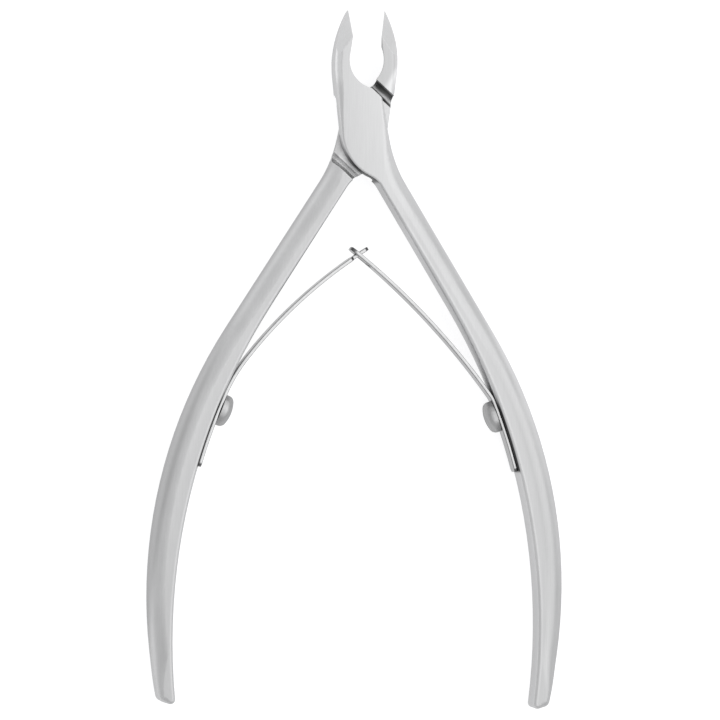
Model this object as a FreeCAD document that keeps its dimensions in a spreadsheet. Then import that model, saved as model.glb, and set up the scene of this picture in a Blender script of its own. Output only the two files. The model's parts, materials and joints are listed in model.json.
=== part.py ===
import FreeCAD, Part
import math
import os
import Sketcher

# Cuticle nipper: two half-lapped levers on one pivot screw, held open by two
# interlocking leaf springs that are screwed to the handles.
#
# Drawn with the pivot on the origin and the lap between the levers on z = 0,
# X to the right, Y from the pivot towards the jaws, Z out of the front face.
# Every finished piece is then lifted by half the thickness, so the tool lies
# on z = 0, and slid along Y until the origin is halfway along its length.

Vec = FreeCAD.Vector
Turn = FreeCAD.Rotation
Place = FreeCAD.Placement

DIMENSIONS = [
    ("thickness", 7.0, "front face to rear face"),
    ("lap_gap", 0.02, "running gap between the two lapped plates"),
    ("open_half_angle", 8.6, "degrees each jaw stands away from the centre plane"),
    # jaw
    ("tip_height", 20.8, "pivot to the jaw tip"),
    ("heel_height", 16.2, "pivot to the lower end of the cutting edge"),
    ("jaw_bulge", 5.45, "widest half width of the jaws"),
    ("jaw_bulge_height", 11.5, "height of the widest place"),
    ("jaw_back_radius", 20.0, "back of the jaw"),
    ("throat_half", 2.98, "widest half width of the throat"),
    ("throat_radius", 4.9, "bowl of the throat"),
    ("facet_run", 4.4, "how far below the heel the facet reaches at the jaw back"),
    ("facet_angle", 35.5, "slope of the front facet"),
    ("taper_start", 8.0, "height where the rear of the jaw begins to thin"),
    ("taper_angle", 14.5, "slope of the thinned rear of the jaw"),
    ("relief_angle", 10.0, "relief behind the cutting edge and round the throat"),
    ("relief_start", 0.75, "start of that relief below the heel, as a share of the cutting edge"),
    ("throat_land", 0.5, "front part of the throat wall, left straight"),
    # lapped joint
    ("cheek_radius", 8.75, "round lower edge of the lapped plate"),
    ("waist_half", 4.12, "half width at the waist"),
    ("step_angle", 48.0, "direction of the normal of the milled channel, from +X"),
    ("step_offset", 6.05, "pivot to the straight upper edge of the plate"),
    ("step_left", 0.92, "x of the upper end of that edge"),
    ("step_right", 2.8, "x of its lower end"),
    ("floor_half", 6.15, "half width of the floor the other plate turns on"),
    ("channel_half", 7.3, "half width of the channel at that height"),
    ("channel_mouth_half", 7.7, "half width of the channel at the face"),
    ("channel_hollow", 6.0, "radius of the hollow channel walls"),
    ("groove_radius", 0.62, "groove between floor and wall"),
    # handle
    ("crotch_radius", 4.5, "between the plate and the inside of the handle"),
    ("inner_radius", 107.0, "inside of the handle"),
    ("inner_centre_x", 75.38, "its centre, across"),
    ("inner_centre_drop", 86.6, "its centre, below the pivot"),
    ("inner_straight_end", 30.5, "drop at which the straight part ends"),
    ("outer_radius", 85.35, "outside of the handle"),
    ("outer_centre_x", 49.4, "its centre, across"),
    ("outer_centre_drop", 79.3, "its centre, below the pivot"),
    ("outer_straight_end", 34.3, "drop at which the straight part ends"),
    ("neck_radius", 25.0, "hollow of the neck"),
    ("neck_start", 1.0, "drop at which that hollow begins"),
    ("tail_start", 90.0, "drop at which the outside rounding begins to shrink"),
    ("handle_end_inner", 99.1, "drop of the inner corner of the handle end"),
    ("handle_end_outer", 98.8, "drop of the outer corner of the handle end"),
    ("end_inner_round", 0.8, "inner corner of the handle end, seen from the front"),
    ("end_outer_round", 1.2, "outer corner of the handle end, seen from the front"),
    ("jaw_round", 1.2, "edge rounding along the back of the jaw"),
    ("plate_round", 0.4, "edge rounding of the lapped plate"),
    ("grip_round", 2.8, "edge rounding on the outside of the handle"),
    ("end_round", 1.0, "edge rounding at the outer corner of the handle end"),
    ("inside_round", 0.6, "edge rounding on the inside of the handle"),
    # pivot screw
    ("pivot_head_radius", 2.4, "head of the pivot screw"),
    ("pivot_head_depth", 1.0, "thickness of that head"),
    ("pivot_head_sink", 0.15, "head below the rear face"),
    ("pivot_head_gap", 0.06, "gap round the head"),
    ("pivot_shank_radius", 1.6, "bearing part of the pivot screw"),
    ("pivot_gap", 0.03, "running gap round the bearing part"),
    ("pivot_thread_radius", 1.4, "threaded end"),
    ("pivot_thread_length", 2.3, "threaded end in the front plate"),
    # springs
    ("spring_thickness", 0.6, "leaf thickness"),
    ("spring_width", 4.6, "leaf width"),
    ("spring_seat_gap", 0.02, "between the leaf and the handle"),
    ("spring_root_drop", 58.3, "drop of the lower end of the leaf"),
    ("spring_root_round", 0.9, "corners at the lower end"),
    ("spring_end_round", 1.5, "corners at the slotted upper end"),
    ("left_bend_radius", 28.0, "bend where the left leaf leaves the handle"),
    ("left_leaf_radius", 83.1, "free part of the left leaf"),
    ("left_leaf_centre_x", 46.6, "its centre, across"),
    ("left_leaf_centre_drop", 89.8, "its centre, below the pivot"),
    ("left_tip_reach", 1.2, "left tip past the centre plane"),
    ("right_bend_radius", 3.0, "bend where the right leaf leaves the handle"),
    ("right_leaf_radius", 128.7, "free part of the right leaf"),
    ("right_leaf_centre_x", 80.3, "its centre, across"),
    ("right_leaf_centre_drop", 122.3, "its centre, below the pivot"),
    ("right_tip_reach", 1.9, "right tip past the centre plane"),
    ("tongue_width", 1.9, "narrow end of the left leaf"),
    ("tongue_start", 1.6, "where it begins, before the centre plane"),
    ("slot_width", 2.3, "slot in the end of the right leaf"),
    ("slot_start", 3.0, "where it begins, before the centre plane"),
    ("slot_end", 1.1, "where it ends, past the centre plane"),
    # spring screws
    ("left_screw_drop", 48.2, "drop of the left spring screw"),
    ("right_screw_drop", 48.5, "drop of the right spring screw"),
    ("screw_head_radius", 2.75, "button head"),
    ("screw_head_height", 2.0, "its height"),
    ("screw_rim", 0.6, "straight rim of the head"),
    ("screw_corner", 1.1, "round between the rim and the slightly domed top"),
    ("screw_shank_radius", 1.0, "shank"),
    ("screw_reach", 3.4, "shank below the head"),
    ("screw_gap", 0.05, "gap round the shank"),
    ("screw_seat_gap", 0.06, "under the middle of the head, whose rim bears on the curved leaf"),
    ("slot_cut_width", 0.7, "driver slot"),
    ("slot_cut_depth", 0.8, "driver slot"),
    # cutters
    ("window_drop", 27.0, "drop of the cutters for the tongue and the slot"),
    ("window_height", 12.0, "their height"),
    ("cutter_size", 60.0, "larger than any face that is cut"),
]


def make_sheet(doc):
    """Driving dimensions, one alias to a row."""
    sheet = doc.addObject("Spreadsheet::Sheet", "dims")
    for row, (alias, value, note) in enumerate(DIMENSIONS, start=1):
        sheet.set("A%d" % row, alias)
        sheet.set("B%d" % row, repr(value))
        sheet.setAlias("B%d" % row, alias)
        sheet.set("C%d" % row, note)
    doc.recompute()
    return sheet


def bearing(vector):
    return math.atan2(vector.y, vector.x)


def trace(sketch, side, start, legs):
    """Draw a closed run of lines and arcs.

    A leg is (name, end, centre, turn, smooth): centre is None for a line,
    turn is +1 for an arc that runs anticlockwise, smooth says that the leg
    leaves its forerunner without a corner.
    """
    drawn = {}
    order = []
    here = start
    for name, end, centre, turn, smooth in legs:
        first = Vec(side * here[0], here[1], 0)
        last = Vec(side * end[0], end[1], 0)
        if centre is None:
            index = sketch.addGeometry(Part.LineSegment(first, last), False)
            drawn[name] = (index, 1, 2)
        else:
            hub = Vec(side * centre[0], centre[1], 0)
            forward = turn * side > 0
            low, high = (first, last) if forward else (last, first)
            circle = Part.Circle(hub, Vec(0, 0, 1), (first - hub).Length)
            arc = Part.ArcOfCircle(circle, bearing(low - hub), bearing(high - hub))
            index = sketch.addGeometry(arc, False)
            drawn[name] = (index, 1, 2) if forward else (index, 2, 1)
        order.append((drawn[name], smooth))
        here = end
    for (before, _), (after, smooth) in zip([order[-1]] + order[:-1], order):
        kind = "Tangent" if smooth else "Coincident"
        ends = (before[0], before[2], after[0], after[1])
        sketch.addConstraint(Sketcher.Constraint(kind, *ends))
    return drawn


def hold(sketch, geometry, point, axis, expression):
    """Hold one coordinate of a point; the expression gives its size, the sketch its side."""
    now = sketch.getPoint(geometry, point)
    value = now.x if axis == "X" else now.y
    ends = (-1, 1, geometry, point) if value >= 0 else (geometry, point, -1, 1)
    index = sketch.addConstraint(Sketcher.Constraint("Distance" + axis, *ends, abs(value)))
    sketch.setExpression("Constraints[%d]" % index, expression)


def hold_radius(sketch, geometry, expression, value):
    index = sketch.addConstraint(Sketcher.Constraint("Radius", geometry, value))
    sketch.setExpression("Constraints[%d]" % index, expression)


def lever_legs(read):
    """Outline of a lever whose jaw is on the left and handle on the right.

    The plain numbers are starting places for the solver; the dimensions and
    tangencies that lever_outline adds settle where each leg runs.
    """
    half = math.radians(read("open_half_angle"))
    tip = (-read("tip_height") * math.tan(half), read("tip_height"))
    heel = (-read("heel_height") * math.tan(half), read("heel_height"))
    back = (read("jaw_back_radius") - read("jaw_bulge"), read("jaw_bulge_height"))
    cheek = (read("cheek_radius") - read("waist_half"), 0.0)
    bowl = (read("throat_radius") - read("throat_half"), 12.1)
    inner = (-read("inner_centre_x"), -read("inner_centre_drop"))
    outer = (-read("outer_centre_x"), -read("outer_centre_drop"))
    step_low = (read("step_right"), 5.2)
    step_high = (read("step_left"), 7.3)
    return tip, [
        ("tip", (-3.4, tip[1]), None, 0, False),
        ("jaw_back", (-5.3, 9.0), back, 1, False),
        ("waist", (-4.1, -1.1), None, 0, True),
        ("cheek", (1.6, -8.25), cheek, 1, True),
        ("crotch", (3.1, -9.2), (1.1, -10.2), -1, True),
        ("inside_run", (17.0, -32.5), None, 0, True),
        ("inside_bow", (31.4, -97.4), inner, -1, True),
        ("end_inner", (31.9, -98.2), (32.2, -97.4), 1, True),
        ("end", (33.0, -97.8), None, 0, True),
        ("end_outer", (34.0, -96.8), (32.8, -96.8), 1, True),
        ("outside_tail", (35.5, -90.0), outer, 1, True),
        ("outside_bow", (23.4, -34.3), outer, 1, False),
        ("outside_run", (7.6, -9.0), None, 0, True),
        ("neck", (4.4, -1.0), (28.7, -6.5), -1, True),
        ("shoulder", step_low, None, 0, True),
        ("step", step_high, None, 0, False),
        ("bowl", (-2.95, 12.6), bowl, -1, False),
        ("throat", heel, None, 0, True),
        ("cutting_edge", tip, None, 0, False),
    ]


def lever_outline(doc, name, side, read):
    """The lever seen from the front, on the rear face."""
    sketch = doc.addObject("Sketcher::SketchObject", name + "_outline")
    sketch.Placement = Place(Vec(0, 0, -read("thickness") / 2), Turn())
    start, legs = lever_legs(read)
    drawn = trace(sketch, side, start, legs)

    tip = drawn["tip"][0]
    sketch.addConstraint(Sketcher.Constraint("Horizontal", tip))
    hold(sketch, tip, 1, "X", "dims.tip_height * tan(dims.open_half_angle)")
    hold(sketch, tip, 1, "Y", "dims.tip_height")
    edge, heel, _ = drawn["cutting_edge"]
    hold(sketch, edge, heel, "X", "dims.heel_height * tan(dims.open_half_angle)")
    hold(sketch, edge, heel, "Y", "dims.heel_height")

    back = drawn["jaw_back"][0]
    hold_radius(sketch, back, "dims.jaw_back_radius", read("jaw_back_radius"))
    hold(sketch, back, 3, "X", "dims.jaw_back_radius - dims.jaw_bulge")
    hold(sketch, back, 3, "Y", "dims.jaw_bulge_height")

    cheek = drawn["cheek"][0]
    hold_radius(sketch, cheek, "dims.cheek_radius", read("cheek_radius"))
    hold(sketch, cheek, 3, "X", "dims.cheek_radius - dims.waist_half")
    sketch.addConstraint(Sketcher.Constraint("PointOnObject", cheek, 3, -1))
    hold_radius(sketch, drawn["crotch"][0], "dims.crotch_radius", read("crotch_radius"))

    for run, bow, word in (("inside_run", "inside_bow", "inner"), ("outside_run", "outside_bow", "outer")):
        arc = drawn[bow][0]
        joint = drawn[bow][1] if word == "inner" else drawn[bow][2]
        hold_radius(sketch, arc, "dims.%s_radius" % word, read(word + "_radius"))
        hold(sketch, arc, 3, "X", "dims.%s_centre_x" % word)
        hold(sketch, arc, 3, "Y", "dims.%s_centre_drop" % word)
        hold(sketch, arc, joint, "Y", "dims.%s_straight_end" % word)

    tail, _, tail_top = drawn["outside_tail"]
    sketch.addConstraint(Sketcher.Constraint("Coincident", tail, 3, drawn["outside_bow"][0], 3))
    hold(sketch, tail, tail_top, "Y", "dims.tail_start")
    for corner, word in (("end_inner", "inner"), ("end_outer", "outer")):
        arc = drawn[corner][0]
        hold_radius(sketch, arc, "dims.end_%s_round" % word, read("end_%s_round" % word))
        hold(sketch, arc, 3, "Y", "dims.handle_end_%s - dims.end_%s_round" % (word, word))

    neck, _, neck_top = drawn["neck"]
    hold_radius(sketch, neck, "dims.neck_radius", read("neck_radius"))
    hold(sketch, neck, neck_top, "Y", "dims.neck_start")
    step, low, high = drawn["step"]
    for point, word in ((low, "step_right"), (high, "step_left")):
        hold(sketch, step, point, "X", "dims." + word)
        drop = "(dims.step_offset - dims.%s * cos(dims.step_angle)) / sin(dims.step_angle)" % word
        hold(sketch, step, point, "Y", drop)
    bowl = drawn["bowl"][0]
    hold_radius(sketch, bowl, "dims.throat_radius", read("throat_radius"))
    hold(sketch, bowl, 3, "X", "dims.throat_radius - dims.throat_half")
    doc.recompute()
    return sketch, drawn


def edge_rounds(read):
    """Radius of the edge rounding where each leg of the outline starts and ends."""
    jaw, plate = read("jaw_round"), read("plate_round")
    inside, grip, end = read("inside_round"), read("grip_round"), read("end_round")
    return {
        "jaw_back": (jaw, jaw),
        "waist": (jaw, plate),
        "cheek": (plate, plate),
        "crotch": (plate, plate),
        "inside_run": (plate, inside),
        "inside_bow": (inside, inside),
        "end_inner": (inside, inside),
        "end": (inside, end),
        "end_outer": (end, end),
        "outside_tail": (end, grip),
        "outside_bow": (grip, grip),
        "outside_run": (grip, grip),
        "neck": (grip, jaw),
        "shoulder": (jaw, plate),
    }


def rounded_edges(shape, sketch, drawn, side, rounds):
    """Match the edges of both faces of the slab to the legs of its outline.

    Each is (edge number, radius at its start, radius at its end), where the
    start is taken anticlockwise round the slab.
    """
    found = []
    for number, edge in enumerate(shape.Edges, start=1):
        low, high = edge.ParameterRange
        first, middle, last = (edge.valueAt(t) for t in (low, (low + high) / 2, high))
        if abs(first.z - last.z) > 1e-6:
            continue
        for name, radii in rounds.items():
            curve = sketch.Geometry[drawn[name][0]]
            centre = curve.value((curve.FirstParameter + curve.LastParameter) / 2)
            if math.hypot(middle.x - centre.x, middle.y - centre.y) < 1e-3:
                found.append((number,) + radii[::side])
    return found


def add_slab(doc, name, side, read):
    """The forging before it is milled: outline, thickness and rounded edges."""
    sketch, drawn = lever_outline(doc, name, side, read)
    slab = doc.addObject("Part::Extrusion", name + "_slab")
    slab.Base = sketch
    slab.DirMode = "Normal"
    slab.Solid = True
    slab.setExpression("LengthFwd", "dims.thickness")
    doc.recompute()
    forging = doc.addObject("Part::Fillet", name + "_forging")
    forging.Base = slab
    forging.Edges = rounded_edges(slab.Shape, sketch, drawn, side, edge_rounds(read))
    doc.recompute()
    return forging


def stand(origin, across, up):
    """Placement whose Z runs along up and whose X leans towards across."""
    z_axis = Vec(up).normalize()
    x_axis = (across - z_axis * across.dot(z_axis)).normalize()
    return Place(origin, Turn(x_axis, z_axis.cross(x_axis), z_axis, "ZXY"))


def plane_cutter(doc, name, point, outward, back):
    """A block with one face through a point, covering what lies outward of it.

    back is how far it reaches below the point, as a share of its size.
    """
    block = doc.addObject("Part::Box", name)
    for side in ("Length", "Width", "Height"):
        block.setExpression(side, "dims.cutter_size")
    doc.recompute()
    size = block.Length.Value
    corner = Place(Vec(-size * back, -size / 2, 0), Turn())
    block.Placement = stand(point, Vec(0, 1, 0), outward).multiply(corner)
    return block


def jaw_cutters(doc, name, side, read):
    """Front facet, thinned rear and relieved inside of a jaw."""
    half = read("thickness") / 2
    lean = math.tan(math.radians(read("open_half_angle")))
    heel = Vec(-side * read("heel_height") * lean, read("heel_height"), half)
    tip = Vec(-side * read("tip_height") * lean, read("tip_height"), half)
    back_drop = read("jaw_back_radius") - read("jaw_bulge")
    back_y = read("heel_height") - read("facet_run")
    back_x = math.sqrt(read("jaw_back_radius") ** 2 - (back_y - read("jaw_bulge_height")) ** 2) - back_drop
    ridge = (Vec(-side * back_x, back_y, half) - heel).normalize()
    forward = Vec(side * ridge.y, -side * ridge.x, 0)
    facet = math.radians(read("facet_angle"))
    facet_out = forward * math.sin(facet) + Vec(0, 0, math.cos(facet))

    edge_tip = tip - Vec(0, 0, math.tan(facet) * forward.dot(tip - heel))
    relief = math.radians(read("relief_angle"))
    inwards = Vec(-side * math.sin(relief), 0, -math.cos(relief))
    relief_out = (edge_tip - heel).cross(inwards)
    if relief_out.x * side < 0:
        relief_out = -relief_out
    relief_foot = heel + (heel - edge_tip) * read("relief_start")

    taper = math.radians(read("taper_angle"))
    taper_out = Vec(0, math.sin(taper), -math.cos(taper))
    return [
        plane_cutter(doc, name + "_facet", heel, facet_out, 0.5),
        plane_cutter(doc, name + "_relief", relief_foot, relief_out, 0.0),
        plane_cutter(doc, name + "_taper", Vec(0, read("taper_start"), -half), taper_out, 0.5),
    ]


def throat_cutter(doc, name, side, read):
    """A cone that relieves the round wall of the throat towards the rear."""
    radius, angle = read("throat_radius"), math.radians(read("step_angle"))
    across = radius - read("throat_half")
    corner = (read("step_offset") - read("step_left") * math.cos(angle)) / math.sin(angle)
    height = corner + math.sqrt(radius ** 2 - (across - read("step_left")) ** 2)
    flare = "tan(dims.relief_angle)"
    cone = doc.addObject("Part::Cone", name)
    cone.setExpression("Height", "3 * dims.thickness")
    cone.setExpression("Radius1", "dims.throat_radius + (2 * dims.thickness - dims.throat_land) * " + flare)
    cone.setExpression("Radius2", "dims.throat_radius - (dims.thickness + dims.throat_land) * " + flare)
    cone.Placement = Place(Vec(side * across, height, -1.5 * read("thickness")), Turn())
    return cone


def arc_centre(first, last, radius):
    """Centre of the arc that runs anticlockwise from first to last."""
    chord = last - first
    reach = math.sqrt(radius ** 2 - (chord.Length / 2) ** 2)
    return (first + last) / 2 + Vec(-chord.y, chord.x, 0).normalize() * reach


def channel_cutter(doc, name, side, face, read):
    """Milled channel across a lever: floor at the lap, hollow walls.

    face is +1 when the channel opens to the front. The cross section has X
    along the normal of the walls and Y out of the face.
    """
    floor, foot, mouth = read("floor_half"), read("channel_half"), read("channel_mouth_half")
    hollow, groove, depth = read("channel_hollow"), read("groove_radius"), read("thickness") / 2
    top, lap = 2 * depth, -read("lap_gap") / 2
    wall = arc_centre(Vec(foot, lap, 0), Vec(mouth, depth, 0), hollow)
    dip = arc_centre(Vec(floor, lap, 0), Vec(foot, lap, 0), groove)
    legs = [
        ("floor", (floor, lap), None, 0, False),
        ("groove", (foot, lap), (dip.x, dip.y), 1, False),
        ("wall", (mouth, depth), (wall.x, wall.y), 1, False),
        ("side", (mouth, top), None, 0, False),
        ("top", (-mouth, top), None, 0, False),
        ("far_side", (-mouth, depth), None, 0, False),
        ("far_wall", (-foot, lap), (-wall.x, wall.y), 1, False),
        ("far_groove", (-floor, lap), (-dip.x, dip.y), 1, False),
    ]
    sketch = doc.addObject("Sketcher::SketchObject", name + "_section")
    drawn = trace(sketch, 1, (-floor, lap), legs)
    for leg, wide, high in (
        ("floor", "dims.floor_half", "dims.lap_gap / 2"),
        ("groove", "dims.channel_half", "dims.lap_gap / 2"),
        ("wall", "dims.channel_mouth_half", "dims.thickness / 2"),
        ("side", "dims.channel_mouth_half", "dims.thickness"),
        ("top", "dims.channel_mouth_half", "dims.thickness"),
        ("far_side", "dims.channel_mouth_half", "dims.thickness / 2"),
        ("far_wall", "dims.channel_half", "dims.lap_gap / 2"),
        ("far_groove", "dims.floor_half", "dims.lap_gap / 2"),
    ):
        index, _, last = drawn[leg]
        hold(sketch, index, last, "X", wide)
        hold(sketch, index, last, "Y", high)
    for leg in ("wall", "far_wall"):
        hold_radius(sketch, drawn[leg][0], "dims.channel_hollow", hollow)
    for leg in ("groove", "far_groove"):
        hold_radius(sketch, drawn[leg][0], "dims.groove_radius", groove)

    cutter = doc.addObject("Part::Extrusion", name)
    cutter.Base = sketch
    cutter.DirMode = "Normal"
    cutter.Solid = True
    cutter.Symmetric = True
    cutter.setExpression("LengthFwd", "dims.cutter_size / 2")
    angle = math.radians(read("step_angle"))
    across = Vec(-side * math.cos(angle), math.sin(angle), 0)
    out = Vec(0, 0, face)
    cutter.Placement = Place(Vec(), Turn(across, out, across.cross(out), "ZXY"))
    return cutter


def bore(doc, name, radius, depth, foot, along):
    """A round hole from a point, along a direction."""
    drill = doc.addObject("Part::Cylinder", name)
    drill.setExpression("Radius", radius)
    drill.setExpression("Height", depth)
    drill.Placement = stand(foot, Vec(along.y, along.z, along.x), along)
    return drill


def cut_all(doc, body, cutters, label):
    """Take every cutter from the body; the last cut is the finished piece."""
    for cutter in cutters:
        cut = doc.addObject("Part::Cut", cutter.Name + "_cut")
        cut.Base = body
        cut.Tool = cutter
        body = cut
    body.Label = label
    return body


def handle_wall(side, drop, read):
    """Point on the inside wall of a handle at mid thickness, and the way out of that wall."""
    centre = Vec(-side * read("inner_centre_x"), -read("inner_centre_drop"), 0)
    rise = (read("inner_centre_drop") - drop) / read("inner_radius")
    out = Vec(-side * math.sqrt(1 - rise ** 2), -rise, 0)
    return centre - out * read("inner_radius"), out


def make_lever(doc, name, side, face, read):
    """Jaw, lapped plate and handle in one; face +1 has its channel at the front."""
    hand = "right" if side > 0 else "left"
    half = read("thickness") / 2
    cutters = jaw_cutters(doc, name, side, read)
    cutters.append(throat_cutter(doc, name + "_throat", side, read))
    cutters.append(channel_cutter(doc, name + "_channel", side, face, read))
    wall, out = handle_wall(side, read(hand + "_screw_drop"), read)
    depth = "dims.screw_reach + 2 * dims.screw_gap"
    mouth = wall + out * read("spring_thickness")
    cutters.append(bore(doc, name + "_screw_hole", "dims.screw_shank_radius", depth, mouth, -out))
    up = Vec(0, 0, 1)
    if face < 0:
        depth = "dims.pivot_thread_length + 2 * dims.screw_gap"
        cutters.append(bore(doc, name + "_pivot_hole", "dims.pivot_thread_radius", depth, Vec(), up))
    else:
        rear = Vec(0, 0, -half)
        width = "dims.pivot_head_radius + dims.pivot_head_gap"
        depth = "dims.pivot_head_sink + dims.pivot_head_depth"
        cutters.append(bore(doc, name + "_counterbore", width, depth, rear, up))
        width = "dims.pivot_shank_radius + dims.pivot_gap"
        cutters.append(bore(doc, name + "_pivot_hole", width, "dims.thickness / 2", rear, up))
    return cut_all(doc, add_slab(doc, name, side, read), cutters, name)


def leaf_profile(doc, name, side, hand, read):
    """Edge view of a leaf: seated on the handle, bent off it, then a long free bow."""
    thick = read("spring_thickness")
    bend, leaf = read(hand + "_bend_radius"), read(hand + "_leaf_radius")
    seat_hub = Vec(-read("inner_centre_x"), -read("inner_centre_drop"), 0)
    leaf_hub = Vec(-read(hand + "_leaf_centre_x"), -read(hand + "_leaf_centre_drop"), 0)
    seat = read("inner_radius") - read("spring_seat_gap") - thick / 2

    root = math.asin((read("inner_centre_drop") - read("spring_root_drop")) / seat)
    tip = math.acos((read(hand + "_leaf_centre_x") - read(hand + "_tip_reach")) / leaf)
    bend_hub, first, second = bend_ends(seat_hub, seat, leaf_hub, leaf, bend)

    def at(hub, radius, angle):
        return (hub.x + radius * math.cos(angle), hub.y + radius * math.sin(angle))

    def face(offset):
        return [
            at(seat_hub, seat + offset, root),
            at(seat_hub, seat + offset, first),
            at(leaf_hub, leaf + offset, second),
            at(leaf_hub, leaf + offset, tip),
        ]

    hubs = [(hub.x, hub.y) for hub in (seat_hub, bend_hub, leaf_hub)]
    outer, inner = face(thick / 2), face(-thick / 2)
    legs = [
        ("seat", outer[1], hubs[0], 1, False),
        ("bend", outer[2], hubs[1], 1, True),
        ("leaf", outer[3], hubs[2], 1, True),
        ("tip", inner[3], None, 0, False),
        ("leaf_back", inner[2], hubs[2], -1, False),
        ("bend_back", inner[1], hubs[1], -1, True),
        ("seat_back", inner[0], hubs[0], -1, True),
        ("root", outer[0], None, 0, False),
    ]
    sketch = doc.addObject("Sketcher::SketchObject", name + "_profile")
    drawn = trace(sketch, side, outer[0], legs)
    seat_out = "(dims.inner_radius - dims.spring_seat_gap)"
    leaf_out = "(dims.%s_leaf_radius + dims.spring_thickness / 2)" % hand
    bend_out = "(dims.%s_bend_radius + dims.spring_thickness / 2)" % hand
    for leg, rule in (("seat", seat_out), ("bend", bend_out), ("leaf", leaf_out)):
        front, rear = drawn[leg][0], drawn[leg + "_back"][0]
        hold_radius(sketch, front, rule, sketch.Geometry[front].Radius)
        hold_radius(sketch, rear, rule + " - dims.spring_thickness", sketch.Geometry[rear].Radius)
    for leg, word in (("seat", "inner"), ("leaf", hand + "_leaf")):
        for arc in (drawn[leg][0], drawn[leg + "_back"][0]):
            hold(sketch, arc, 3, "X", "dims.%s_centre_x" % word)
            hold(sketch, arc, 3, "Y", "dims.%s_centre_drop" % word)
    hold(sketch, drawn["seat"][0], drawn["seat"][1], "Y", "dims.spring_root_drop")
    inset = "dims.inner_centre_drop - (dims.inner_centre_drop - dims.spring_root_drop)"
    inset += " * (1 - dims.spring_thickness / %s)" % seat_out
    hold(sketch, drawn["seat_back"][0], drawn["seat_back"][2], "Y", inset)
    hold(sketch, drawn["leaf"][0], drawn["leaf"][2], "X", "dims.%s_tip_reach" % hand)
    inset = "dims.{0}_leaf_centre_x - (dims.{0}_leaf_centre_x - dims.{0}_tip_reach)".format(hand)
    inset += " * (1 - dims.spring_thickness / %s)" % leaf_out
    hold(sketch, drawn["leaf_back"][0], drawn["leaf_back"][1], "X", inset)
    doc.recompute()
    return sketch


def bend_ends(seat_hub, seat, leaf_hub, leaf, bend):
    """Centre of a small bend inside two large arcs, and the bearings where it meets them."""
    a, b = seat - bend, leaf - bend
    line = leaf_hub - seat_hub
    along = (a ** 2 - b ** 2 + line.Length ** 2) / (2 * line.Length)
    off = math.sqrt(a ** 2 - along ** 2)
    unit = Vec(line).normalize()
    sides = [seat_hub + unit * along + Vec(-unit.y, unit.x, 0) * off * s for s in (1, -1)]
    hub = max(sides, key=lambda v: v.x)
    return hub, bearing(hub - seat_hub), bearing(hub - leaf_hub)


def end_window(doc, name, length, width, corner):
    """A box that reaches through a leaf near its tip."""
    box = doc.addObject("Part::Box", name)
    box.setExpression("Length", length)
    box.setExpression("Width", "dims.window_height")
    box.setExpression("Height", width)
    box.Placement = Place(corner, Turn())
    return box


def round_ends(doc, name, leaf, hand, read):
    """Round the corners of a leaf in its own plane; a tongue keeps its end for later."""
    across = read("spring_thickness")
    middle = leaf.Shape.BoundBox.Center.y
    corners = []
    for number, edge in enumerate(leaf.Shape.Edges, start=1):
        at_root = edge.CenterOfMass.y < middle
        radius = read("spring_root_round" if at_root else "spring_end_round")
        if abs(edge.Length - across) < 1e-3 and (at_root or hand == "right"):
            corners.append((number, radius, radius))
    rounded = doc.addObject("Part::Fillet", name + "_ends")
    rounded.Base = leaf
    rounded.Edges = corners
    doc.recompute()
    return rounded


def make_spring(doc, name, side, hand, read):
    """Leaf spring: the left one ends in a tongue, the right one in a slotted eye."""
    sketch = leaf_profile(doc, name, side, hand, read)
    leaf = doc.addObject("Part::Extrusion", name + "_leaf")
    leaf.Base = sketch
    leaf.DirMode = "Normal"
    leaf.Solid = True
    leaf.Symmetric = True
    leaf.setExpression("LengthFwd", "dims.spring_width")
    doc.recompute()
    leaf = round_ends(doc, name, leaf, hand, read)
    wall, out = handle_wall(side, read(hand + "_screw_drop"), read)
    radius = "dims.screw_shank_radius + dims.screw_gap"
    foot = wall - out * read("spring_thickness")
    cutters = [bore(doc, name + "_hole", radius, "3 * dims.spring_thickness", foot, out)]
    if hand == "right":
        length = "dims.slot_start + dims.slot_end"
        corner = Vec(-read("slot_end"), -read("window_drop"), -read("slot_width") / 2)
        cutters.append(end_window(doc, name + "_slot", length, "dims.slot_width", corner))
    else:
        length = "dims.tongue_start + 2 * dims.left_tip_reach"
        for word, bottom in (("front", read("tongue_width") / 2), ("rear", -read("spring_width"))):
            width = "dims.spring_width - dims.tongue_width / 2"
            corner = Vec(-read("tongue_start"), -read("window_drop"), bottom)
            cutters.append(end_window(doc, name + "_" + word, length, width, corner))
    return cut_all(doc, leaf, cutters, name)


def turned(doc, name, legs, start, holds, rounded=None, radius=None):
    """A turned blank: half profile with X the radius and Y the axis.

    rounded names an arc of the given radius that leads into the last arc,
    which is centred on the axis.
    """
    sketch = doc.addObject("Sketcher::SketchObject", name + "_profile")
    drawn = trace(sketch, 1, start, legs)
    for leg, wide, high in holds:
        index, _, last = drawn[leg]
        if wide:
            hold(sketch, index, last, "X", wide)
        else:
            sketch.addConstraint(Sketcher.Constraint("PointOnObject", index, last, -2))
        if high:
            hold(sketch, index, last, "Y", high)
        else:
            sketch.addConstraint(Sketcher.Constraint("PointOnObject", index, last, -1))
    if rounded:
        corner, dome = drawn[rounded][0], drawn["dome"][0]
        hold_radius(sketch, corner, radius, sketch.Geometry[corner].Radius)
        sketch.addConstraint(Sketcher.Constraint("PointOnObject", dome, 3, -2))
    doc.recompute()
    blank = doc.addObject("Part::Revolution", name + "_blank")
    blank.Source = sketch
    blank.Axis = Vec(0, 1, 0)
    blank.Angle = 360
    blank.Solid = True
    return blank


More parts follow.
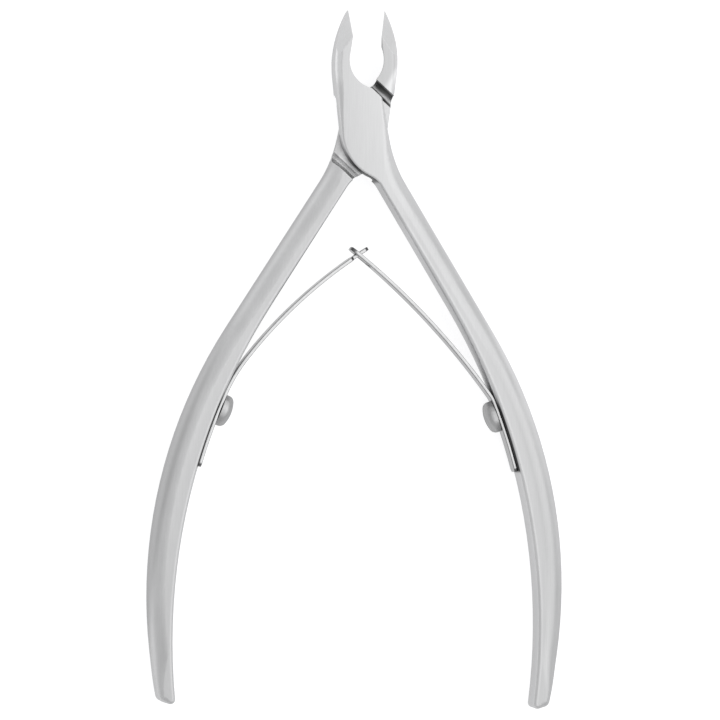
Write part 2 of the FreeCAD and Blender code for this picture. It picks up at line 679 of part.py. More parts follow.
def driver_slot(doc, name, length, height):
    """Screwdriver slot across a head whose top is at a height on the Y axis."""
    slot = doc.addObject("Part::Box", name + "_driver_slot")
    slot.setExpression("Length", length)
    slot.setExpression("Width", "dims.slot_cut_depth * 2")
    slot.setExpression("Height", "dims.slot_cut_width")
    doc.recompute()
    slot.Placement = Place(Vec(-slot.Length.Value / 2, height, -slot.Height.Value / 2), Turn())
    return slot


def make_spring_screw(doc, name, side, hand, read):
    """Domed slotted screw; its seat under the head is at the origin, its head along +Y."""
    head, shank = read("screw_head_radius"), read("screw_shank_radius")
    rim, top, reach = read("screw_rim"), read("screw_head_height"), read("screw_reach")
    corner = read("screw_corner")
    inset, rise = head - corner, top - rim
    dome = (inset ** 2 + rise ** 2 - corner ** 2) / (2 * (rise - corner))
    share = dome / (dome - corner)
    legs = [
        ("end", (shank, -reach), None, 0, False),
        ("shank", (shank, 0), None, 0, False),
        ("seat", (head, 0), None, 0, False),
        ("rim", (head, rim), None, 0, False),
        ("corner", (inset * share, top - dome + (rim - top + dome) * share), (inset, rim), 1, True),
        ("dome", (0, top), (0, top - dome), 1, True),
        ("axis", (0, -reach), None, 0, False),
    ]
    holds = [
        ("end", "dims.screw_shank_radius", "dims.screw_reach"),
        ("shank", "dims.screw_shank_radius", None),
        ("seat", "dims.screw_head_radius", None),
        ("rim", "dims.screw_head_radius", "dims.screw_rim"),
        ("dome", None, "dims.screw_head_height"),
        ("axis", None, "dims.screw_reach"),
    ]
    blank = turned(doc, name, legs, (0, -reach), holds, "corner", "dims.screw_corner")
    length = "3 * dims.screw_head_radius"
    slot = driver_slot(doc, name, length, top - read("slot_cut_depth"))
    screw = cut_all(doc, blank, [slot], name)
    wall, out = handle_wall(side, read(hand + "_screw_drop"), read)
    seat = wall + out * (read("spring_thickness") + read("spring_seat_gap") + read("screw_seat_gap"))
    front = Vec(0, 0, 1)
    screw.Placement = Place(seat, Turn(out.cross(front), out, front, "ZYX"))
    return screw


def make_pivot_screw(doc, name, read):
    """Shouldered screw, its head to the rear; the underside of the head is at the origin."""
    head, depth = read("pivot_head_radius"), read("pivot_head_depth")
    shank, thread = read("pivot_shank_radius"), read("pivot_thread_radius")
    bearing_length = read("thickness") / 2 - read("pivot_head_sink") - depth
    legs = [
        ("top", (thread, -bearing_length - read("pivot_thread_length")), None, 0, False),
        ("thread", (thread, -bearing_length), None, 0, False),
        ("shoulder", (shank, -bearing_length), None, 0, False),
        ("shank", (shank, 0), None, 0, False),
        ("seat", (head, 0), None, 0, False),
        ("rim", (head, depth), None, 0, False),
        ("head", (0, depth), None, 0, False),
        ("axis", (0, -bearing_length - read("pivot_thread_length")), None, 0, False),
    ]
    run = "dims.thickness / 2 - dims.pivot_head_sink - dims.pivot_head_depth"
    holds = [
        ("top", "dims.pivot_thread_radius", run + " + dims.pivot_thread_length"),
        ("thread", "dims.pivot_thread_radius", run),
        ("shoulder", "dims.pivot_shank_radius", run),
        ("shank", "dims.pivot_shank_radius", None),
        ("seat", "dims.pivot_head_radius", None),
        ("rim", "dims.pivot_head_radius", "dims.pivot_head_depth"),
        ("head", None, "dims.pivot_head_depth"),
        ("axis", None, run + " + dims.pivot_thread_length"),
    ]
    blank = turned(doc, name, legs, (0, -bearing_length - read("pivot_thread_length")), holds)
    slot = driver_slot(doc, name, "3 * dims.pivot_head_radius", depth - read("slot_cut_depth") / 2)
    screw = cut_all(doc, blank, [slot], name)
    seat = Vec(0, 0, -bearing_length)
    screw.Placement = Place(seat, Turn(Vec(1, 0, 0), Vec(0, 0, -1), Vec(0, 1, 0), "ZYX"))
    return screw


def main():
    doc = FreeCAD.newDocument("cuticle_nipper")
    sheet = make_sheet(doc)

    def read(alias):
        return float(sheet.get(alias))

    pieces = [
        make_lever(doc, "front_lever", 1, -1, read),
        make_lever(doc, "back_lever", -1, 1, read),
        make_pivot_screw(doc, "pivot_screw", read),
        make_spring(doc, "left_spring", -1, "left", read),
        make_spring(doc, "right_spring", 1, "right", read),
        make_spring_screw(doc, "left_spring_screw", -1, "left", read),
        make_spring_screw(doc, "right_spring_screw", 1, "right", read),
    ]
    halfway = (read("handle_end_inner") - read("tip_height")) / 2
    shift = Place(Vec(0, halfway, read("thickness") / 2), Turn())
    for piece in pieces:
        piece.Placement = shift.multiply(piece.Placement)
    doc.recompute()

    for item in doc.Objects:
        if "Invalid" in item.State or "Error" in item.State:
            raise RuntimeError("%s did not build: %s" % (item.Name, item.State))
    for piece in pieces:
        if piece.Shape.isNull() or not piece.Shape.isValid() or len(piece.Shape.Solids) != 1:
            raise RuntimeError("%s is not one sound solid" % piece.Label)

    os.makedirs("parts", exist_ok=True)
    for piece in pieces:
        piece.Shape.exportStep("parts/%s.step" % piece.Label)
        box = piece.Shape.BoundBox
        print("%-20s %9.2f mm3  %s" % (piece.Label, piece.Shape.Volume, box))


main()
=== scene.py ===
import json
import math

import bmesh
import bpy
from mathutils import Matrix, Vector


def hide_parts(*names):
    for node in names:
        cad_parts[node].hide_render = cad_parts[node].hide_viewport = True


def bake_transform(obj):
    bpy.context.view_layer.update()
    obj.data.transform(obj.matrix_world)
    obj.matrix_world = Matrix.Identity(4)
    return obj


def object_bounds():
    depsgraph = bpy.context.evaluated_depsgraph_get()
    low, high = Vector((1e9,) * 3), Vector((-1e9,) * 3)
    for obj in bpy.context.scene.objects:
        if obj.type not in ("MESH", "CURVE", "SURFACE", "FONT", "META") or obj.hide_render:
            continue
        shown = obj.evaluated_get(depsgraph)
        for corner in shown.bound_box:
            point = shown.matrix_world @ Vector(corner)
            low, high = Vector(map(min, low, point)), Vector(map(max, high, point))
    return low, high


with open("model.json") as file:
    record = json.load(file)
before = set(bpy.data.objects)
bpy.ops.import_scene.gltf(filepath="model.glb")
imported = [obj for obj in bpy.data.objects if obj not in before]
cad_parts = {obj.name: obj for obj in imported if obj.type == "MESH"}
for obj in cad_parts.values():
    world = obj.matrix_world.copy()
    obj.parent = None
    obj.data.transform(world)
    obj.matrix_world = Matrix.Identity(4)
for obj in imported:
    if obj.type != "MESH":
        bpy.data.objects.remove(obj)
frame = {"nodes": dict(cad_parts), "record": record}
cad_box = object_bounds()

MM = 0.001
PIVOT = Vector(frame["record"]["behaviour"]["joints"][0]["pos_m"])
LOW, HIGH = (Vector(corner) for corner in cad_box)
THICKNESS = HIGH.z - LOW.z

# Inside of the right handle and leaf springs, in millimetres from the pivot, drops counted downwards.
INNER_HUB = Vector((-75.38, -86.6))
INNER_RADIUS = 107.0
STRAIGHT_END = 30.5
SEAT_GAP = 0.02
LEAF_THICKNESS = 0.6
LEAF_WIDTH = 4.6
SEAT_HUB = INNER_HUB
SEAT_RADIUS = INNER_RADIUS - SEAT_GAP - LEAF_THICKNESS / 2
ROOT_DROP = 58.3
ROOT_ROUND = 0.9
END_ROUND = 1.5
EDGE_ROUND = 0.09
TONGUE_HALF = 0.95
SLOT_HALF = 1.15
SLOT_BEFORE = 3.2
SLOT_AFTER = 1.2
NECK_BEFORE = 1.3
SHOULDER = 0.5
NECK_ROUND = 0.3
SCREW_HOLE = 1.05
CROSSING_SHIFT = 0.5
SLICE = 0.4
SOFT_ANGLE = math.radians(30)
FLOOR_HALF = 4.0
FLOOR_GAP = 0.2 * MM
LEAVES = {
    "left": {"hub": Vector((-46.6, -89.8)), "radius": 83.1, "bend": 28.0, "reach": 1.2, "screw_drop": 48.2},
    "right": {"hub": Vector((-80.3, -122.3)), "radius": 128.7, "bend": 3.0, "reach": 1.9, "screw_drop": 48.5},
}

# Steel tones, most of them painted light and shade in the steel's colour. A pair is the start and end
# of a ramp, in millimetres unless it is a share or a component of the normal.
NOISE = (0.3, 0.7)
SATIN_LEVEL = 0.56
EDGE_WEAR = 0.12
EDGE_SAMPLES = 4
EDGE_MATCH = (0.995, 0.90)
CROWN_RADIUS = 4.4
CROWN_SAMPLES = 8
CROWN_START = (0.4, 3.2)
DOME = 14.0
HANDLE_START = (8, 18)
HANDLE_ANGLE = 28
# Painted shade in narrow recesses and between parts, found by ambient occlusion.
CREVICE = 0.8
CREVICE_SHADE_RAMP = (0.3, 0.9)
STRIP_CORNER = 0.16
SKIN = 0.1 * MM
# Painted reflection bands and painted shade in the milled channel, and painted light on the lap floor.
STEP_ANGLE = 48.0
GROOVE_START = (6.12, 6.2)
GROOVE_FAR = (6.45, 6.75)
GROOVE_LOWER = (6.8, 7.0)
MOUTH_END = (7.74, 7.68)
WALL_FOOT = (0.9, 0.1)
WALL_TOP = (2.3, 2.7)
WALL_RIM = (2.9, 3.1)
LAP_EDGE = 6.1
LAP_START = (0, 2)
# Painted shade and painted dark reflection on the side of the front plate over the channel.
CHEEK_START = (2.0, 6.5)
CHEEK_END = (9.2, 8.6)
CHEEK_PAINTED_SHADE = 0.88
SIDE_UPRIGHT = (0.75, 0.55)
SIDE_LEFTWARD = (-0.1, -0.3)
# Painted light and shade along the tool: darker towards the handle ends, lighter at the head.
PAINTED_SHADE_ALONG = (30, 95)
PAINTED_LIGHT_AT_HEAD = (-12, 14)
# Painted light and shade across the front lever's handle: darker in the middle, lighter at the outer edge
# near the neck and beside the hollow inside.
MIDDLE_START = (1.5, 2.6)
MIDDLE_END = (4.8, 3.8)
MIDDLE_PAINTED_SHADE = 0.10
RIM_START = (3.5, 4.3)
RIM_FADE = (65, 35)
RIM_PAINTED_LIGHT = 0.18
WALL_START = (14, 18)
WALL_END = (1.0, 0.6)
WALL_PAINTED_LIGHT = 0.12
# Painted light and shade across the back lever's handle: lighter from its middle outward, darker at the outer
# edge.
SHOULDER_START = (1.4, 2.6)
SHADE_START = (3.3, 4.3)
# Painted shadow in the gap beside each spring's seat on the inside of the handle.
SEAM_WIDTH = (0.32, 0.12)
SEAM_START = (43, 48)
SEAM_END = (58.6, 58)
PAINTED_SEAM_SHADOW = 0.06
# Painted light on the ground facets of the jaws, leaning differently on each side.
FACET_START = (-7, -10)
FACET_STEEP = (0.2, 0.4)
FACET_LEAN = {1: (0.998, 0.958), -1: (0.90, 0.86)}
FACET_PAINTED_LIGHT = 0.25


# ---------------------------------------------------------------- materials

class Graph:
    """A short way to write a shader tree."""

    def __init__(self, name):
        self.material = bpy.data.materials.new(name)
        self.material.use_nodes = True
        self.tree = self.material.node_tree
        self.tree.nodes.clear()
        self.output = self.node("ShaderNodeOutputMaterial")
        self.shader = self.node("ShaderNodeBsdfPrincipled")
        self.link(self.shader.outputs["BSDF"], self.output.inputs["Surface"])

    def node(self, kind, **values):
        made = self.tree.nodes.new(kind)
        for key, value in values.items():
            setattr(made, key, value)
        return made

    def link(self, source, target):
        self.tree.links.new(source, target)

    def put(self, target, value):
        if isinstance(value, bpy.types.NodeSocket):
            self.link(value, target)
        else:
            target.default_value = value

    def math(self, operation, first, second=0.0):
        made = self.node("ShaderNodeMath", operation=operation)
        self.put(made.inputs[0], first)
        self.put(made.inputs[1], second)
        return made.outputs[0]

    def product(self, first, *others):
        for other in others:
            first = self.math("MULTIPLY", first, other)
        return first

    def total(self, first, *others):
        for other in others:
            first = self.math("ADD", first, other)
        return first

    def rest(self, value):
        """What is left of 1."""
        return self.math("SUBTRACT", 1.0, value)

    def span(self, value, run, tones=(0.0, 1.0), smooth=True):
        """From one tone to the other as the value crosses a run."""
        kind = "SMOOTHSTEP" if smooth else "LINEAR"
        made = self.node("ShaderNodeMapRange", interpolation_type=kind)
        for socket, number in zip(made.inputs, (value, *run, *tones)):
            self.put(socket, number)
        return made.outputs[0]

    def band(self, value, run, tones=(0.0, 1.0)):
        """The same for a distance, with the run in millimetres."""
        return self.span(value, (run[0] * MM, run[1] * MM), tones)

    def split(self, vector):
        parts = self.node("ShaderNodeSeparateXYZ")
        self.link(vector, parts.inputs[0])
        return parts.outputs

    def noise(self, place, scale, detail=3.0, roughness=0.5, stretch=None, turn=0.0):
        if stretch:
            shaped = self.node("ShaderNodeMapping")
            shaped.inputs["Rotation"].default_value = (0, 0, turn)
            shaped.inputs["Scale"].default_value = stretch
            self.link(place, shaped.inputs["Vector"])
            place = shaped.outputs[0]
        made = self.node("ShaderNodeTexNoise")
        self.link(place, made.inputs["Vector"])
        made.inputs["Scale"].default_value = scale
        made.inputs["Detail"].default_value = detail
        made.inputs["Roughness"].default_value = roughness
        return made.outputs["Fac"]

    def bevel(self, radius, samples):
        made = self.node("ShaderNodeBevel", samples=samples)
        made.inputs["Radius"].default_value = radius * MM
        return made.outputs[0]

    def bump(self, height, strength, distance, normal):
        made = self.node("ShaderNodeBump")
        made.inputs["Strength"].default_value = strength
        made.inputs["Distance"].default_value = distance
        self.link(height, made.inputs["Height"])
        self.link(normal, made.inputs["Normal"])
        return made.outputs["Normal"]

    def tint(self, level, tints):
        """A nearly neutral base colour of the given level."""
        colour = self.node("ShaderNodeCombineColor")
        for channel, share in zip(("Red", "Green", "Blue"), tints):
            self.link(self.product(level, share), colour.inputs[channel])
        self.link(colour.outputs[0], self.shader.inputs["Base Color"])


def edge_mask(graph, radius):
    """1 on edges, where the true surface and a rounded one part ways."""
    rounded = graph.bevel(radius, EDGE_SAMPLES)
    surface = graph.node("ShaderNodeNewGeometry")
    match = graph.node("ShaderNodeVectorMath", operation="DOT_PRODUCT")
    graph.link(rounded, match.inputs[0])
    graph.link(surface.outputs["Normal"], match.inputs[1])
    return graph.span(match.outputs["Value"], EDGE_MATCH), rounded


def grey(value):
    return (value, value, value * 1.005, 1.0)


def across_handle(graph, parts, side):
    """How far a point is outward of the hollow inside of its handle, and its drop below the pivot."""
    x = graph.math("SUBTRACT", graph.product(parts["X"], side), INNER_HUB.x * MM)
    drop = graph.math("SUBTRACT", PIVOT.y, parts["Y"])
    y = graph.total(drop, INNER_HUB.y * MM)
    bow = graph.math("SQRT", graph.total(graph.product(x, x), graph.product(y, y)))
    rise = (-INNER_HUB.y - STRAIGHT_END) / INNER_RADIUS
    run = graph.math("SUBTRACT", graph.product(x, math.sqrt(1 - rise * rise)), graph.product(y, rise))
    straight = graph.math("LESS_THAN", drop, STRAIGHT_END * MM)
    reach = graph.total(graph.product(run, straight), graph.product(bow, graph.rest(straight)))
    return graph.math("SUBTRACT", reach, INNER_RADIUS * MM), drop


def channel_shade(graph, parts, drop):
    """Painted reflections as dark and light bands and painted shade in the milled channel of the back lever,
    and painted light on the lap floor beside it: 1 where the steel is plain.
    """
    angle = math.radians(STEP_ANGLE)
    along = graph.product(parts["X"], math.cos(angle))
    along = graph.math("SUBTRACT", along, graph.product(drop, math.sin(angle)))
    off = graph.math("ABSOLUTE", along)
    upper = graph.math("GREATER_THAN", along, 0.0)
    high = graph.math("SUBTRACT", parts["Z"], THICKNESS / 2)
    wall = graph.math("GREATER_THAN", high, SKIN)
    inside = graph.product(graph.band(off, GROOVE_START), graph.band(off, MOUTH_END))
    inside = graph.product(inside, graph.math("LESS_THAN", high, THICKNESS / 2 - SKIN))

    # Painted reflections on the channel's wall and floor, as dark and light bands.
    face = graph.band(high, WALL_TOP, (0.30, 0.50))
    face = graph.math("SUBTRACT", face, graph.band(high, WALL_RIM, (0.0, 0.18)))
    face = graph.total(face, graph.band(high, WALL_FOOT, (0.0, 0.35)))
    groove = graph.band(off, GROOVE_FAR, (0.16, 0.85))
    tone = graph.total(graph.product(face, wall), graph.product(groove, graph.rest(wall)))
    lower = graph.band(off, GROOVE_LOWER, (0.95, 1.35))
    tone = graph.total(graph.product(tone, upper), graph.product(graph.rest(upper), lower))

    # Painted light on the lap floor beside the channel.
    lap = graph.product(graph.math("LESS_THAN", off, LAP_EDGE * MM), graph.math("LESS_THAN", high, SKIN))
    lap = graph.product(lap, graph.math("GREATER_THAN", high, -SKIN))
    lap = graph.product(lap, graph.band(drop, LAP_START, (0.0, 0.25)))
    return graph.total(graph.rest(graph.product(inside, graph.rest(tone))), lap)


def plate_shade(graph, facing, drop):
    """Painted shade and painted dark reflection on the side of the front plate, where it stands over the
    floor of the channel.
    """
    side = graph.product(graph.span(facing["Z"], SIDE_UPRIGHT), graph.span(facing["X"], SIDE_LEFTWARD))
    near = graph.product(graph.band(drop, CHEEK_START), graph.band(drop, CHEEK_END))
    return graph.rest(graph.product(side, near, CHEEK_PAINTED_SHADE))


def crowned(graph, parts, inward, handle, rounded, crowning, lean):
    """Normals of a handle that is worn round, and of a plate and jaw that are slightly domed."""
    share = graph.product(handle, crowning, graph.band(inward, CROWN_START))
    soft = graph.node("ShaderNodeMix", data_type="VECTOR")
    graph.link(share, soft.inputs["Factor"])
    graph.link(rounded, soft.inputs["A"])
    graph.link(graph.bevel(CROWN_RADIUS, CROWN_SAMPLES), soft.inputs["B"])
    swell = graph.product(graph.rest(handle), graph.product(parts["X"], DOME))
    tilt = graph.node("ShaderNodeCombineXYZ")
    graph.link(graph.total(swell, graph.product(handle, lean)), tilt.inputs["X"])
    bowed = graph.node("ShaderNodeVectorMath", operation="ADD")
    graph.link(soft.outputs["Result"], bowed.inputs[0])
    graph.link(tilt.outputs[0], bowed.inputs[1])
    return bowed.outputs[0]


def painted_light_tones(graph, parts, side, inward, drop, handle):
    """Factors on the steel's level, all painted light and shade: in narrow recesses, on the plate side and in
    the channel, across and along the handles, beside the spring seats and on the ground jaw facets.
    """
    facing = graph.split(graph.node("ShaderNodeTexCoord").outputs["Normal"])
    # Painted shade: darker where ambient occlusion finds narrow recesses and nearby parts.
    corner = graph.node("ShaderNodeAmbientOcclusion", samples=CROWN_SAMPLES)
    corner.inputs["Distance"].default_value = CREVICE * MM
    crevice_shade = graph.span(corner.outputs["AO"], CREVICE_SHADE_RAMP, (0.75, 1.0), False)
    # Painted shade towards the handle ends and painted light at the head.
    lengthwise = graph.band(drop, PAINTED_SHADE_ALONG, (1.0, 0.90))
    lengthwise = graph.product(lengthwise, graph.band(drop, PAINTED_LIGHT_AT_HEAD, (1.06, 1.0)))
    if side > 0:
        # Painted shade and painted dark reflection on the side of the plate.
        special = plate_shade(graph, facing, drop)
        # Painted light and shade across the handle: a darker middle, a lighter outer edge near the neck, a
        # lighter inner edge.
        middle = graph.product(graph.band(inward, MIDDLE_START), graph.band(inward, MIDDLE_END), handle)
        painted_rim = graph.product(graph.band(inward, RIM_START), graph.band(drop, RIM_FADE), handle, RIM_PAINTED_LIGHT)
        wall = graph.product(graph.band(inward, WALL_END), graph.band(drop, WALL_START), WALL_PAINTED_LIGHT)
        across = graph.product(graph.rest(graph.product(middle, MIDDLE_PAINTED_SHADE)), graph.total(painted_rim, 1.0))
        across = graph.product(across, graph.total(wall, 1.0))
    else:
        # Painted reflections and painted shade in the channel, painted light on the lap floor.
        special = channel_shade(graph, parts, drop)
        # Painted light from the handle's middle outward and painted shade at its outer edge.
        across = graph.band(inward, SHOULDER_START, (1.0, 1.10))
        across = graph.product(across, graph.band(inward, SHADE_START, (1.0, 0.75)))
    # Painted light on the ground jaw facets, by how they face.
    facet = graph.product(graph.band(drop, FACET_START), graph.span(facing["Z"], FACET_LEAN[side]))
    facet = graph.product(facet, graph.span(facing["Z"], FACET_STEEP))
    facet = graph.total(graph.product(facet, FACET_PAINTED_LIGHT), 1.0)
    # Painted shadow, nearly black, in the gap beside the spring's seat.
    seam_shadow = graph.product(graph.band(inward, SEAM_WIDTH), graph.band(drop, SEAM_START))
    seam_shadow = graph.product(seam_shadow, graph.band(drop, SEAM_END))
    seam_shadow = graph.span(seam_shadow, (0.0, 1.0), (1.0, PAINTED_SEAM_SHADOW), False)
    return crevice_shade, special, across, lengthwise, facet, seam_shadow


def satin_steel(name, side, crowning, lean):
    """Fine blasted steel with faint drawing along the handle, brighter at its edges, with painted light and
    shade in its level.
    """
    graph = Graph(name)
    place = graph.node("ShaderNodeTexCoord").outputs["Object"]
    parts = graph.split(place)
    inward, drop = across_handle(graph, parts, side)
    handle = graph.band(drop, HANDLE_START)
    edges, rounded = edge_mask(graph, EDGE_WEAR)
    normal = crowned(graph, parts, inward, handle, rounded, crowning, lean)

    cloud = graph.noise(place, 140.0, 2.0)
    grain = graph.noise(place, 9000.0, 3.0, 0.6)
    turn = side * math.radians(HANDLE_ANGLE)
    drawn = graph.noise(place, 1400.0, 3.0, 0.55, stretch=(4.0, 0.12, 4.0), turn=turn)
    level = graph.total(graph.span(cloud, NOISE, (-0.012, 0.012)), graph.span(grain, NOISE, (-0.02, 0.02)))
    level = graph.total(level, graph.span(drawn, NOISE, (-0.012, 0.012)), SATIN_LEVEL)
    level = graph.total(level, graph.product(edges, 0.04))
    # Painted light and shade multiply the level here.
    level = graph.product(level, *painted_light_tones(graph, parts, side, inward, drop, handle))
    graph.tint(level, (0.997, 1.0, 1.004))
    graph.shader.inputs["Metallic"].default_value = 1.0
    graph.shader.inputs["Specular Tint"].default_value = grey(0.72)
    rough = graph.total(graph.span(cloud, NOISE, (0.40, 0.46)), graph.span(grain, NOISE, (-0.04, 0.04)))
    rough = graph.math("SUBTRACT", rough, graph.product(edges, 0.10))
    graph.link(rough, graph.shader.inputs["Roughness"])
    fine = graph.bump(grain, 0.22, 0.02 * MM, normal)
    graph.link(graph.bump(drawn, 0.12, 0.02 * MM, fine), graph.shader.inputs["Normal"])
    return graph


def polished_steel(name, shade, rough_low, rough_high, painted_rim):
    """Hard rolled strip, polished, with fine lines along its length and darker corners, a painted dark
    reflection.
    """
    graph = Graph(name)
    place = graph.node("ShaderNodeTexCoord").outputs["Object"]
    rounded = graph.bevel(STRIP_CORNER, CROWN_SAMPLES)
    lines = graph.noise(place, 2500.0, 3.0, 0.6, stretch=(0.5, 0.5, 6.0))
    cloud = graph.noise(place, 260.0, 2.0)
    # Painted dark reflection on the rounded corners between broad faces and edges.
    upright = graph.math("ABSOLUTE", graph.split(rounded)["Z"])
    corner = graph.product(graph.span(upright, (0.97, 0.88)), graph.span(upright, (0.05, 0.3)))
    level = graph.total(graph.span(lines, NOISE, (-0.03, 0.03)), shade)
    graph.tint(graph.product(level, graph.span(corner, (0.0, 1.0), (1.0, painted_rim), False)), (0.997, 1.0, 1.003))
    graph.shader.inputs["Metallic"].default_value = 1.0
    graph.shader.inputs["Specular Tint"].default_value = grey(0.6)
    rough = graph.span(cloud, NOISE, (rough_low, rough_high))
    rough = graph.total(rough, graph.span(lines, NOISE, (-0.02, 0.02)))
    graph.link(rough, graph.shader.inputs["Roughness"])
    graph.link(graph.bump(lines, 0.10, 0.01 * MM, rounded), graph.shader.inputs["Normal"])
    return graph


def dress(piece, graph):
    piece.data.materials.clear()
    piece.data.materials.append(graph.material)


# ---------------------------------------------------------------- leaf springs

def meet(leaf):
    """Centre of the bend between seat and leaf, and the bearings where it joins them."""
    a, b = SEAT_RADIUS - leaf["bend"], leaf["radius"] - leaf["bend"]
    line = leaf["hub"] - SEAT_HUB
    along = (a * a - b * b + line.length_squared) / (2 * line.length)
    off = math.sqrt(a * a - along * along)
    unit = line.normalized()
    hubs = [SEAT_HUB + unit * along + Vector((-unit.y, unit.x)) * off * s for s in (1, -1)]
    hub = max(hubs, key=lambda point: point.x)
    first, second = hub - SEAT_HUB, hub - leaf["hub"]
    return hub, math.atan2(first.y, first.x), math.atan2(second.y, second.x)


def leaf_arcs(leaf):
    """The middle line as arcs (hub, radius, first bearing, last bearing), root to tip."""
    hub, first, second = meet(leaf)
    root = math.asin((-SEAT_HUB.y - ROOT_DROP) / SEAT_RADIUS)
    tip = math.acos((-leaf["hub"].x - leaf["reach"]) / leaf["radius"])
    return [
        (SEAT_HUB, SEAT_RADIUS, root, first),
        (hub, leaf["bend"], first, second),
        (leaf["hub"], leaf["radius"], second, tip),
    ]


def on_leaf(arcs, run):
    """Point and outward normal of the middle line, a run along it."""
    for hub, radius, first, last in arcs:
        length = radius * (last - first)
        if run <= length or hub is arcs[-1][0]:
            angle = first + run / radius
            out = Vector((math.cos(angle), math.sin(angle)))
            return hub + out * radius, out
        run -= length


def arc_points(centre, radius, first, last, count=12):
    angles = [first + i * (last - first) / count for i in range(count + 1)]
    return [centre + Vector((math.cos(angle), math.sin(angle))) * radius for angle in angles]


def leaf_blank(hand, length, crossing, screw_run):
    """Flat outline of a leaf, X along it and Y across, and the windows in it."""
    half, quarter = LEAF_WIDTH / 2, math.pi / 2
    root = arc_points(Vector((ROOT_ROUND, ROOT_ROUND - half)), ROOT_ROUND, math.pi * 1.5, math.pi)
    root += arc_points(Vector((ROOT_ROUND, half - ROOT_ROUND)), ROOT_ROUND, math.pi, quarter)
    if hand == "right":
        tip = arc_points(Vector((length - END_ROUND, half - END_ROUND)), END_ROUND, quarter, 0)
        tip += arc_points(Vector((length - END_ROUND, END_ROUND - half)), END_ROUND, 0, -quarter)
        first, last = crossing - SLOT_BEFORE, length - SLOT_AFTER
        window = arc_points(Vector((last - SLOT_HALF, 0)), SLOT_HALF, -quarter, quarter)
        window += arc_points(Vector((first + SLOT_HALF, 0)), SLOT_HALF, quarter, 3 * quarter)
        windows = [window]
    else:
        neck = crossing - NECK_BEFORE
        shoulder, inner = neck - SHOULDER, neck + NECK_ROUND
        side = TONGUE_HALF + NECK_ROUND
        tip = arc_points(Vector((shoulder, half - SHOULDER)), SHOULDER, quarter, 0, 6)
        tip += arc_points(Vector((inner, side)), NECK_ROUND, math.pi, 3 * quarter, 6)
        tip += arc_points(Vector((length - TONGUE_HALF, 0)), TONGUE_HALF, quarter, -quarter, 16)
        tip += arc_points(Vector((inner, -side)), NECK_ROUND, quarter, math.pi, 6)
        tip += arc_points(Vector((shoulder, SHOULDER - half)), SHOULDER, 0, -quarter, 6)
        windows = []
    windows.append(arc_points(Vector((screw_run, 0)), SCREW_HOLE, 0, 2 * math.pi, 24)[:-1])
    return root + tip, windows


def flat_mesh(name, outline, windows):
    """Sheet metal cut to an outline, with softly rounded edges."""
    curve = bpy.data.curves.new(name, "CURVE")
    curve.dimensions = "2D"
    curve.fill_mode = "BOTH"
    curve.extrude = LEAF_THICKNESS / 2 - EDGE_ROUND
    curve.bevel_depth = EDGE_ROUND
    curve.bevel_resolution = 2
    curve.offset = -EDGE_ROUND
    for loop in [outline] + windows:
        spline = curve.splines.new("POLY")
        spline.points.add(len(loop) - 1)
        for point, place in zip(spline.points, loop):
            point.co = (place.x, place.y, 0, 1)
        spline.use_cyclic_u = True
    source = bpy.data.objects.new(name + "_flat", curve)
    bpy.context.collection.objects.link(source)
    bpy.context.view_layer.update()
    mesh = bpy.data.meshes.new_from_object(source.evaluated_get(bpy.context.evaluated_depsgraph_get()))
    bpy.data.objects.remove(source)
    return mesh


def make_leaf(hand, side):
    """One spring: cut flat, sliced for bending, and laid along its middle line."""
    leaf = LEAVES[hand]
    arcs = leaf_arcs(leaf)
    runs = [radius * (last - first) for _, radius, first, last in arcs]
    length = sum(runs)
    hub, radius, first, _ = arcs[2]
    bearing = math.acos((-hub.x - CROSSING_SHIFT * side) / radius)
    crossing = runs[0] + runs[1] + radius * (bearing - first)
    rise = (-SEAT_HUB.y - leaf["screw_drop"]) / SEAT_RADIUS
    screw_run = SEAT_RADIUS * (math.asin(rise) - arcs[0][2])
    mesh = flat_mesh(hand + "_leaf_spring", *leaf_blank(hand, length, crossing, screw_run))
    form = bmesh.new()
    form.from_mesh(mesh)
    for step in range(1, int(length / SLICE)):
        whole = form.verts[:] + form.edges[:] + form.faces[:]
        place = (step * SLICE, 0, 0)
        bmesh.ops.bisect_plane(form, geom=whole, plane_co=place, plane_no=(1, 0, 0), dist=1e-4)
    bmesh.ops.remove_doubles(form, verts=form.verts, dist=1e-4)
    for vert in form.verts:
        point, out = on_leaf(arcs, vert.co.x)
        point = point + out * vert.co.z
        vert.co = PIVOT + Vector((side * point.x, point.y, vert.co.y)) * MM
    bmesh.ops.recalc_face_normals(form, faces=form.faces)
    for face in form.faces:
        face.smooth = True
    for edge in form.edges:
        edge.smooth = len(edge.link_faces) == 2 and edge.calc_face_angle(0) < SOFT_ANGLE
    form.to_mesh(mesh)
    form.free()
    piece = bpy.data.objects.new(hand + "_leaf_spring", mesh)
    bpy.context.collection.objects.link(piece)
    return piece


def add_springs(finish):
    for hand, side in (("left", -1), ("right", 1)):
        piece = make_leaf(hand, side)
        dress(piece, finish)
        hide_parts(hand + "_spring")
        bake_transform(piece)


# ---------------------------------------------------------------- studio

def area_light(name, place, size, power):
    """A soft light that faces the middle of the tool."""
    light = bpy.data.lights.new(name, "AREA")
    light.shape = "RECTANGLE"
    light.size, light.size_y = size
    light.energy = power
    lamp = bpy.data.objects.new(name, light)
    lamp.location = place
    lamp.rotation_euler = (-Vector(place)).to_track_quat("-Z", "Y").to_euler()
    bpy.context.collection.objects.link(lamp)


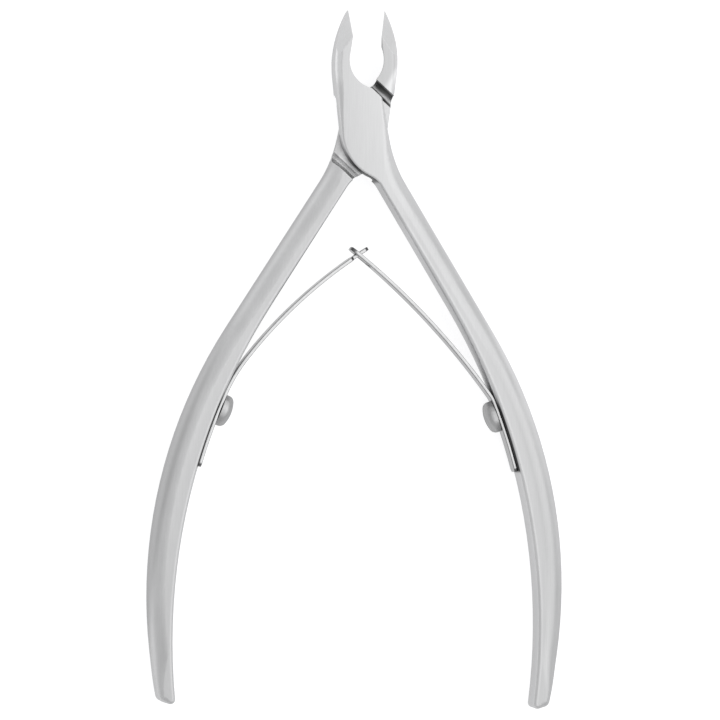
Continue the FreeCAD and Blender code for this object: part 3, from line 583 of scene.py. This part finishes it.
def add_studio():
    world = bpy.data.worlds.new("studio")
    bpy.context.scene.world = world
    world.use_nodes = True
    tree = world.node_tree
    tree.nodes.clear()
    output = tree.nodes.new("ShaderNodeOutputWorld")
    background = tree.nodes.new("ShaderNodeBackground")
    background.inputs["Color"].default_value = grey(1.0)
    background.inputs["Strength"].default_value = 0.78
    tree.links.new(background.outputs[0], output.inputs["Surface"])
    area_light("overhead", (1.15, 0.2, 2.1), (3.0, 3.0), 20.0)
    area_light("right", (1.6, 0.0, 0.6), (1.6, 1.6), 1.5)
    area_light("top", (0.6, 1.9, 1.0), (2.4, 1.4), 10.0)

    floor_mesh = bpy.data.meshes.new("floor")
    size = FLOOR_HALF
    corners = [(-size, -size, LOW.z), (size, -size, LOW.z), (size, size, LOW.z), (-size, size, LOW.z)]
    floor_mesh.from_pydata(corners, [], [(0, 1, 2, 3)])
    floor = bpy.data.objects.new("floor", floor_mesh)
    floor.location.z = -FLOOR_GAP
    bpy.context.collection.objects.link(floor)
    graph = Graph("floor")
    graph.shader.inputs["Base Color"].default_value = grey(0.3)
    graph.shader.inputs["Roughness"].default_value = 0.9
    graph.shader.inputs["Emission Color"].default_value = grey(1.0)
    graph.shader.inputs["Emission Strength"].default_value = 0.84
    floor_mesh.materials.append(graph.material)


def add_camera():
    """Nearly straight down on the front face, from a little to the left."""
    distance = 1.2
    field = 0.1241
    swing = math.radians(7.0)
    roll = math.radians(1.08)
    target = Vector((0.0002, -0.00035, THICKNESS / 2))
    back = Vector((-math.sin(swing), 0, math.cos(swing)))
    up = Vector((-math.sin(roll), math.cos(roll), 0))
    right = up.cross(back).normalized()
    up = back.cross(right).normalized()
    camera = bpy.data.cameras.new("camera")
    camera.sensor_width = 36.0
    camera.lens = camera.sensor_width * distance / field
    camera.clip_end = 20.0
    rig = bpy.data.objects.new("camera", camera)
    rig.matrix_world = Matrix((right, up, back)).transposed().to_4x4()
    rig.location = target + back * distance
    bpy.context.collection.objects.link(rig)
    bpy.context.scene.camera = rig


def main():
    add_camera()
    add_studio()
    dress(frame["nodes"]["front_lever"], satin_steel("satin_front_painted_light", 1, crowning=0.15, lean=-0.02))
    dress(frame["nodes"]["back_lever"], satin_steel("satin_back_painted_light", -1, crowning=0.35, lean=-0.06))
    screws = polished_steel("screw_steel", shade=0.50, rough_low=0.40, rough_high=0.48, painted_rim=0.8)
    for name in ("pivot_screw", "left_spring_screw", "right_spring_screw"):
        dress(frame["nodes"][name], screws)
    add_springs(polished_steel("spring_steel", shade=0.54, rough_low=0.18, rough_high=0.26, painted_rim=0.3))
    bpy.context.scene.view_settings.view_transform = "Standard"


main()
